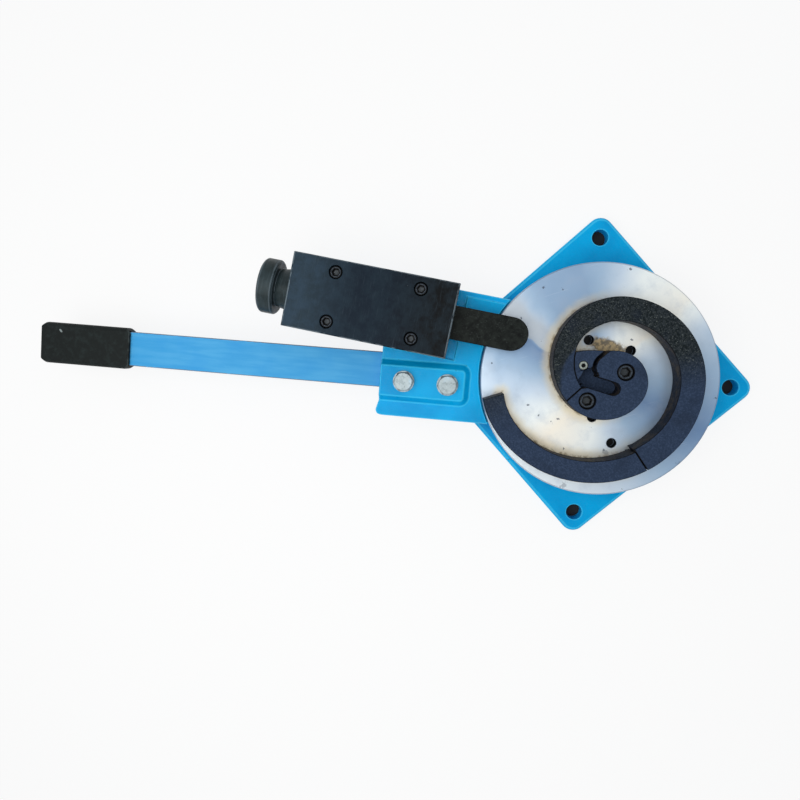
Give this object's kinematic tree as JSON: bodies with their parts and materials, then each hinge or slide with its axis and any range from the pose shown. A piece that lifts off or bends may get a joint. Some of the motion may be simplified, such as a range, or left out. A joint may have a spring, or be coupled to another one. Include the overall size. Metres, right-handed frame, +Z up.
{
  "type": "scroll bender",
  "caption": "Bench scroll bender: square base, round face plate with a snail former in three sections, and a swing lever that carries a sprung follower.",
  "frame": {"origin": "on the pivot axis, at the underside of the base plate", "axes": "+Z up along the pivot axis; X and Y along the sides of the square base; the lever is parked over the corner towards -X -Y"},
  "size_m": [0.571, 0.5751, 0.106],
  "materials": {
    "blue_enamel": "gloss enamel on cast iron, with the casting grain showing through",
    "blue_bar_paint": "satin paint on flat bar",
    "ground_steel": "ground face, turned rim",
    "turned_steel": "turned",
    "former_iron": "dark grained casting, smooth on the working side",
    "blackened_steel": "black oxide, mottled and slightly glossy",
    "black_screws": "black oxide",
    "zinc_plate": "bright zinc plate",
    "bronze": "machined bronze",
    "spring_steel": "drawn wire",
    "black_grip": "moulded sleeve"
  },
  "bodies": {
    "base": {"base_plate": "blue_enamel", "pivot_post": "turned_steel", "post_screws": "black_screws", "lower_thrust_washer": "bronze", "face_plate": "ground_steel", "face_plate_screws": "black_screws", "centre_former": "former_iron", "centre_former_screws": "black_screws", "jaw_insert": "former_iron", "jaw_screw": "zinc_plate"},
    "middle_section": {"middle_former": "former_iron", "middle_former_dowels": "turned_steel"},
    "outer_section": {"outer_former": "former_iron", "outer_former_dowels": "turned_steel"},
    "lever": {"swing_arm": "blue_enamel", "pivot_bush": "bronze", "upper_thrust_washer": "bronze", "guide_block": "blackened_steel", "guide_block_screws": "black_screws", "follower_stop_pin": "turned_steel", "handle_bar": "blue_bar_paint", "handle_clamp_bolts": "zinc_plate", "handle_grip": "black_grip", "follower_spring": "spring_steel"},
    "follower_bar": {"follower": "blackened_steel"},
    "spring_seat": {"spring_seat_nut": "turned_steel"},
    "adjuster": {"adjuster_spindle": "turned_steel", "adjuster_knob": "blackened_steel", "knob_set_screw": "black_screws"}
  },
  "joints": [
    {"name": "lever_swing", "type": "hinge", "parent": "base", "child": "lever", "pos_m": [0, 0, 0], "axis": [0, 0, 1], "range_deg": [-360, 10]},
    {"name": "follower_slide", "type": "slide", "parent": "lever", "child": "follower_bar", "axis": [-0.7944, -0.6074, 0], "range_m": [-0.0015, 0.047], "deforming": ["follower_spring"]},
    {"name": "tension_knob_turn", "type": "hinge", "parent": "lever", "child": "adjuster", "pos_m": [-0.01664, 0.02177, 0.0753], "axis": [-0.7944, -0.6074, 0], "range_deg": [0, 2160]},
    {"name": "spring_seat_slide", "type": "slide", "parent": "lever", "child": "spring_seat", "axis": [0.7944, 0.6074, 0], "range_m": [0, 0.01201], "deforming": ["follower_spring"]},
    {"name": "middle_former_lift", "type": "slide", "parent": "base", "child": "middle_section", "axis": [0, 0, 1], "range_m": [0, 0.06]},
    {"name": "outer_former_lift", "type": "slide", "parent": "base", "child": "outer_section", "axis": [0, 0, 1], "range_m": [0, 0.06]}
  ],
  "couplings": [
    {"joint": "follower_slide", "follows": "lever_swing", "m_per_rad": -0.0074485},
    {"joint": "spring_seat_slide", "follows": "tension_knob_turn", "m_per_rad": 0.00031831}
  ]
}
